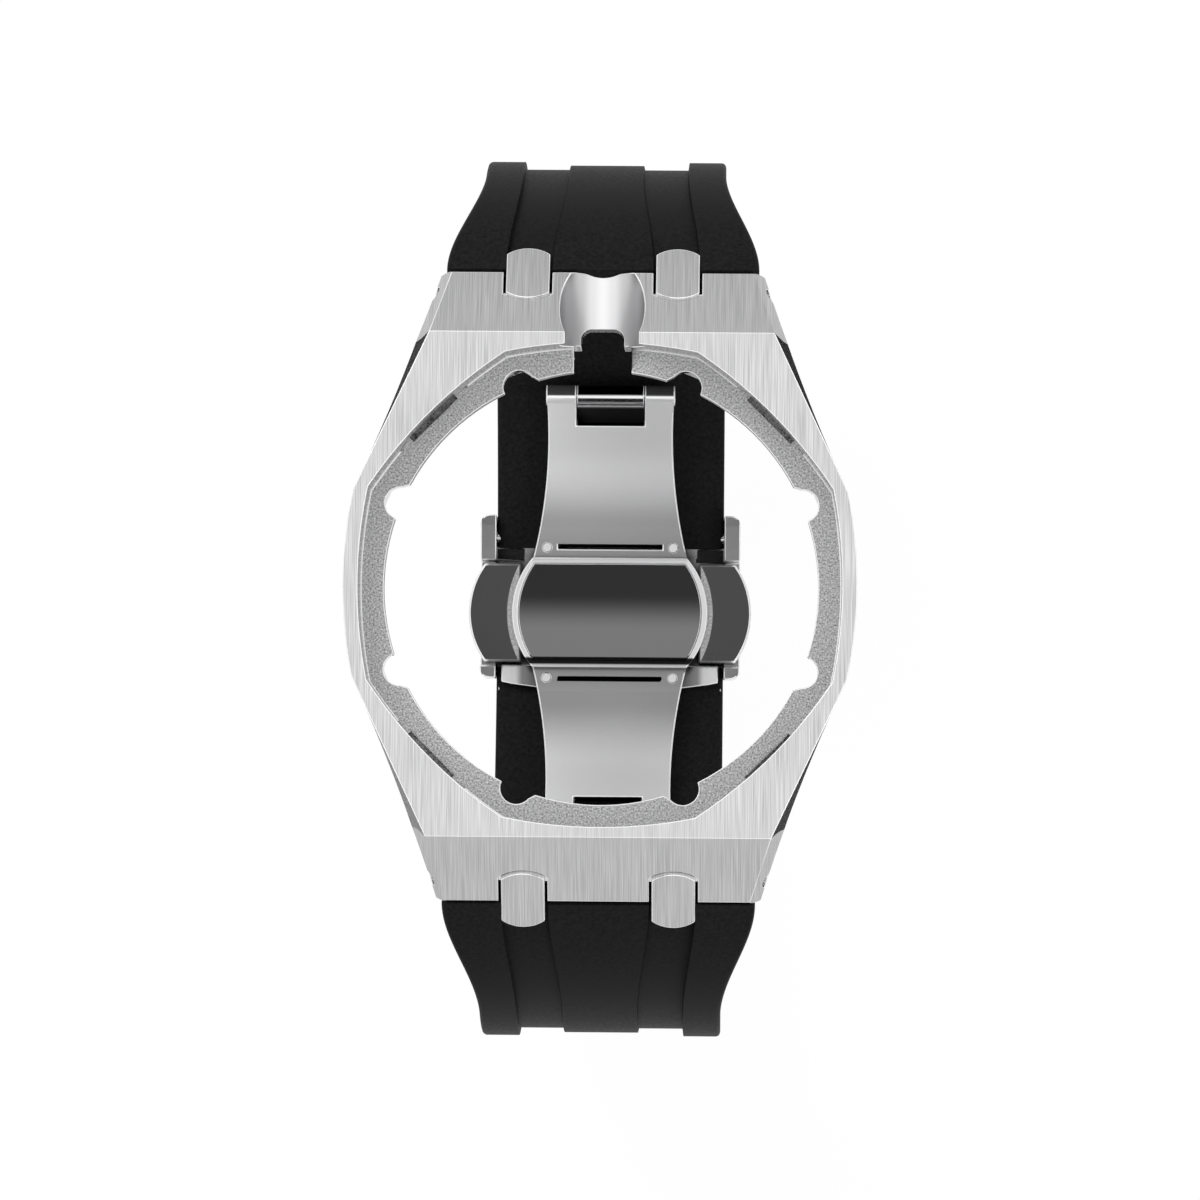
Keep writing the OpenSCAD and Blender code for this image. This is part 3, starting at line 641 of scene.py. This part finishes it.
def case_finish(c, n):
    """The finish of each face of the case, by its centre c in millimetres and its normal n."""
    x, y, z = c.T
    nx, ny, nz = n.T
    radius = np.hypot(x, y)
    up = nz > 0.98
    out = np.full(len(c), POLISHED)
    out[up & (z > FRONT_Z - 0.1)] = FRONT
    # the lug faces, on their slope, and the lugs' flanks beside them: brushed steel with a painted
    # dark reflection
    out[(np.abs(nz - math.cos(LUG_SLOPE)) < 0.01) & (np.abs(nx) < 0.02)] = SLOPE
    out[(np.abs(nx) > 0.6) & (nz > 0.3) & (np.abs(y) > CREASE_Y)] = SLOPE
    # the walls of the windows, grain with painted shade: low, in their ring, and not facing the
    # middle
    outward = np.abs(x * nx + y * ny) / np.maximum(radius, 1)
    low = (z > -0.7) & (z < 1.4) & (radius > WINDOW_RING[0]) & (radius < WINDOW_RING[1])
    out[low & (outward < 0.5) & (np.abs(z) > 0.02) & (nz > -0.5)] = WINDOW
    # the groove: on its cylinder, and facing its axis
    across = np.hypot(x, z - GROOVE_Z)
    towards = (nz * (GROOVE_Z - z) - nx * x) / across
    out[(np.abs(across - GROOVE_R) < 0.05) & (y > GROOVE_FROM_Y) & (towards > 0.97)] = GROOVE
    # the ledge, at height 0, and what lies below and inside it
    out[up & (np.abs(z) < 0.1)] = BLASTED
    out[(radius < LEDGE_R) & (z < 0.05)] = BLASTED
    return out


dress("case_body", "case", 0.08, CASE_STEEL, case_finish)

# %% [markdown]
# The steel of the links and of the clasp, body by body. Links and covers have two steels: one on
# the faces that look up, and polished steel on the rest. The upper one carries a painted dark
# reflection: the darker brushed steel on the links, the darker polished steel on the covers.

# %% links, screws and clasp
def upward(least):
    """A pick: finish 0 where a face looks up by more than least, and finish 1 elsewhere."""
    return lambda c, n: np.where(n[:, 2] > least, 0, 1)


for end, body in (("upper", "strap_top"), ("lower", "strap_bottom")):
    for side in ("left", "right"):
        dress(f"link_{end}_{side}", body, 0.1, [brushed_slope_painted_reflection, polished], upward(0.7))
        dress(f"lug_screw_{end}_{side}", "case", 0.05, [polished])
    dress(f"cover_{end}", body, 0.12, [polished_painted_reflection, polished], upward(0.2))
for node, body, width, finish in (
        ("clasp_base", "clasp", 0.12, satin_painted_reflection),
        ("blade_upper", "blade_top", 0.06, blade_painted_reflection),
        ("blade_lower", "blade_bottom", 0.06, blade_painted_reflection),
        ("end_bracket_lower", "strap_bottom", 0.1, bracket_painted_reflection)):
    dress(node, body, width, [finish])
dress("bridge", "clasp", 0.12, [bridge_painted_reflection], rim=bridge_rim_painted_light)
dress("bridge_plate", "clasp", 0.05, [plate_painted_reflection], rim=plate_rim_painted_light)
for side in ("left", "right"):
    dress(f"button_{side}", f"push_{side}", 0.2, [wing_painted_reflection], rim=wing_rim_painted_highlight)

# %% [markdown]
# Pins, springs, cross bars and catch plates are small or hidden, so they keep the CAD's mesh
# and get the polished finish. So do the meshes that a dressed copy stands for; they stay hidden.

# %% plain nodes
for name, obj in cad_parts.items():
    if name not in ("strap_upper", "strap_lower"):
        obj.data.materials.clear()
        obj.data.materials.append(polished)
print("polished nodes:", len(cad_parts) - 2)

# %% [markdown]
# The strap is a moulded rubber band. Its section has two side ribs, a centre band a little
# lower, and two channels. The section is swept along the loop; its half width eases from 14 mm
# at the lug to 11 mm at the bend, and its thickness falls from 4 mm to 2 mm. Extruding and
# sculpting could make it too, but a formula keeps every rib edge on one line of the mesh. All
# sizes are in millimetres.

# %% strap path
def ease(u):
    """Smooth step: 3u squared minus 2u cubed, held at 0 and 1 outside."""
    u = np.clip(u, 0, 1)
    return u * u * (3 - 2 * u)


def loop_point(a, depth):
    """Point of the loop (y, z) at angle a from the front axis, sunk by depth."""
    one, two = a <= math.pi / 2, a <= JOIN
    r = np.where(one, BEND_R, np.where(two, LOW_R, CLASP_R)) - depth
    cy = np.where(one, LOOP_HALF - BEND_R, np.where(two, LOOP_HALF - LOW_R, 0.0))
    cz = np.where(two, BEND_Z, CLASP_Z)
    return cy + r * np.sin(a), cz + r * np.cos(a)


def angle_at(y, depth):
    """Angle in the clasp's arc at which the strap, sunk by depth, is y off the middle."""
    return math.pi - math.asin(y / (CLASP_R - depth))


# %% strap lines
# The width, the ribs and the centre band are lines along the strap, given as half widths at the
# lug and past the taper.
HALF_LINE, RIB_LINE, BAND_LINE = (14.05, 11.0), (8.75, 7.6), (4.65, 3.5)
TAPER, TAPER_END = 10.5, math.radians(75)  # its length past the lug tip; an angle behind it
BAND_STOPS = (0, 0.30, 0.36, 0.60, 0.66, 0.93, 1.0)  # shares at which the places below lie


def edge_line(y, a, line):
    """Half width to a line along the strap: eases in past the lug tip, then straight."""
    wide, slim = line
    here = wide + (slim - wide) * ease((y - TIP_Y) / TAPER)
    return np.where(a > TAPER_END, slim, here)


def spread(share, places):
    """Lays shares 0 to 1 out across the strap, straight from each stop's place to the next one's.

    Each place is a column of half widths, one per row, so that a line of the mesh follows each
    edge of the ribs and of the centre band.
    """
    size = np.abs(share)
    x = np.zeros(np.broadcast_shapes(size.shape, places[-1].shape))
    for s0, s1, x0, x1 in zip(BAND_STOPS, BAND_STOPS[1:], places, places[1:]):
        x = np.where(size >= s0, x0 + (size - s0) / (s1 - s0) * (x1 - x0), x)
    return x * np.sign(share)


# %% strap section
RAMP, EDGE_R = 0.12, 0.45  # width of the ramps beside a rib or band, and radius of the outer edges
CHANNEL_DEEP, BAND_RISE = 0.7, 0.4  # depth of a channel, and how far the centre band stands in it
CHANNEL_END, CHANNEL_FADE = math.radians(164), math.radians(2)
THICK_LUG, THICK_CLASP, THIN_FROM = 4.0, 2.0, math.radians(150)
STEP_DEEP, STEP_AT, STEP_FADE = 0.05, angle_at(10.5, 2.0), 0.006  # the end is thinner by a hair
FOOT_Y = 7.363  # the strap pin, on which the foot of the blade turns
NOTCH_HALF, NOTCH_RAMP = 5.4, 0.15  # the notch for that foot
NOTCH_AT, NOTCH_FADE = angle_at(FOOT_Y + 1.5, 1.5), 0.004
NOTCH_WEB, NOTCH_SHARE = 0.42, 0.999  # rubber left over the notch; share of the rest that is cut
INNER_LINES = (8.0, 8.1)  # two more lines of points on the plain inner side


def edge_fall(x, half):
    """How far the rounded outer edge falls back: a quarter circle of radius EDGE_R."""
    corner = np.clip((np.abs(x) - (half - EDGE_R)) / EDGE_R, 0, 1)
    return EDGE_R * (1 - np.sqrt(np.clip(1 - corner ** 2, 0, 1)))


def outer_side(share, a, half, rib, band):
    """Places x and depths of the outer side: ribs, channels and centre band."""
    x = spread(share, (0 * half, band - RAMP, band, rib - RAMP, rib, half - EDGE_R, half))
    fade = ease((CHANNEL_END - a) / CHANNEL_FADE)
    in_channel = ease((rib - np.abs(x)) / RAMP) * fade
    in_band = ease((band - np.abs(x)) / RAMP) * fade
    return x, CHANNEL_DEEP * in_channel - BAND_RISE * in_band + edge_fall(x, half)


def inner_side(share, a, half):
    """Places x and depths of the inner side: plain, with the notch at the clasp's end."""
    lines = (0, NOTCH_HALF - NOTCH_RAMP, NOTCH_HALF) + INNER_LINES
    x = spread(share, [0 * half + line for line in lines] + [half - EDGE_R, half])
    thin = np.clip((a - LUG_SLOPE) / (THIN_FROM - LUG_SLOPE), 0, 1)
    thick = THICK_LUG - (THICK_LUG - THICK_CLASP) * thin
    step = STEP_DEEP * ease((a - STEP_AT) / STEP_FADE)
    notch = ease((NOTCH_HALF - np.abs(x)) / NOTCH_RAMP) * ease((a - NOTCH_AT) / NOTCH_FADE)
    return x, thick - step - (thick - NOTCH_WEB) * notch * NOTCH_SHARE - edge_fall(x, half)


# %% rings of the strap
PER_BAND = (6, 7, 9, 7, 9, 7)  # points across each band of the section, from the middle out
END_DEPTH = 1.0  # the strap's end is measured at this depth
# shares along the strap, closer together near the hollow and under the clasp
ALONG = np.concatenate([
    np.linspace(0, 0.06, 8), np.linspace(0.06, 0.85, 110)[1:], np.linspace(0.85, 1.0, 60)[1:]])


def strap_rings(end_y, sign):
    """Rows of points round the strap, from the nose-shaped hollow at the lug to the clasp's end.

    Each line of points starts at the hollow, where a point n above the hinge stands
    sqrt(NOSE_CLEAR^2 - n^2) in front of it along the slope, and runs to the end angle.
    """
    across = np.unique(np.concatenate([
        np.linspace(low, high, count)
        for low, high, count in zip(BAND_STOPS, BAND_STOPS[1:], PER_BAND)]))
    across = np.concatenate([-across[::-1], across[1:]])
    end_a = angle_at(end_y, END_DEPTH)
    v = ALONG[:, None]
    a = LUG_SLOPE + (end_a - LUG_SLOPE) * v
    y0, _ = loop_point(a, 0.0)
    half, rib, band = (edge_line(y0, a, line) for line in (HALF_LINE, RIB_LINE, BAND_LINE))
    sides = []
    for x, depth in (outer_side(across[None, :], a, half, rib, band),
                     inner_side(across[None, ::-1], a, half)):
        ahead = np.sqrt(np.clip(NOSE_CLEAR ** 2 - (HINGE_DOWN - depth) ** 2, 0.0, None))
        start = LUG_SLOPE + (ahead - HINGE_BACK) / BEND_R
        y, z = loop_point(start + (end_a - start) * v, depth)
        sides.append(np.stack([x + 0 * y, y * sign, z], axis=-1))
    return np.concatenate(sides, axis=1)


# %% strap surface
SEAM = 1e-6  # points closer than this are one, in metres
RUBBER_SHARP = math.radians(50)  # shading is smooth over edges that turn by less than this


def strap_surface(name, end_y, sign):
    """A closed surface through the strap's rings; each end face joins outer to inner points."""
    ring = strap_rings(end_y, sign)
    n_row, n_col = ring.shape[:2]
    points = ring.reshape(-1, 3) * MM
    i = np.arange(n_row - 1)[:, None] * n_col
    j = np.arange(n_col)[None, :]
    k = (j + 1) % n_col
    quads = np.stack([i + j, i + k, i + n_col + k, i + n_col + j], axis=-1).reshape(-1, 4)
    p = np.arange(n_col // 2 - 1)
    caps = []
    for base, flip in ((0, False), ((n_row - 1) * n_col, True)):
        cap = np.stack([base + p, base + n_col - 1 - p, base + n_col - 2 - p, base + p + 1], 1)
        caps.append(cap if flip else cap[:, ::-1])
    mesh = bpy.data.meshes.new(name)
    mesh.from_pydata(points.tolist(), [], np.concatenate([quads] + caps).tolist())
    work = bmesh.new()
    work.from_mesh(mesh)
    bmesh.ops.remove_doubles(work, verts=work.verts, dist=SEAM)
    bmesh.ops.recalc_face_normals(work, faces=work.faces)
    work.to_mesh(mesh)
    work.free()
    mesh.shade_smooth()
    mesh.set_sharp_from_angle(angle=RUBBER_SHARP)
    mesh.materials.append(rubber)
    obj = bpy.data.objects.new(name, mesh)
    scene.collection.objects.link(obj)
    print(f"{name}: {len(points)} points")
    return obj


# %% [markdown]
# The two halves of the strap are mirror images but for their ends: the lower one reaches a
# little further under the clasp. Each rides on its own body and stands for the CAD's strap.

# %% both halves of the strap
for node, body, end_y, sign in (("strap_upper", "strap_top", 6.5, 1),
                                ("strap_lower", "strap_bottom", 5.3, -1)):
    rubber_half = strap_surface("rubber_" + node, end_y, sign)
    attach(rubber_half, body)
    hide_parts(node)
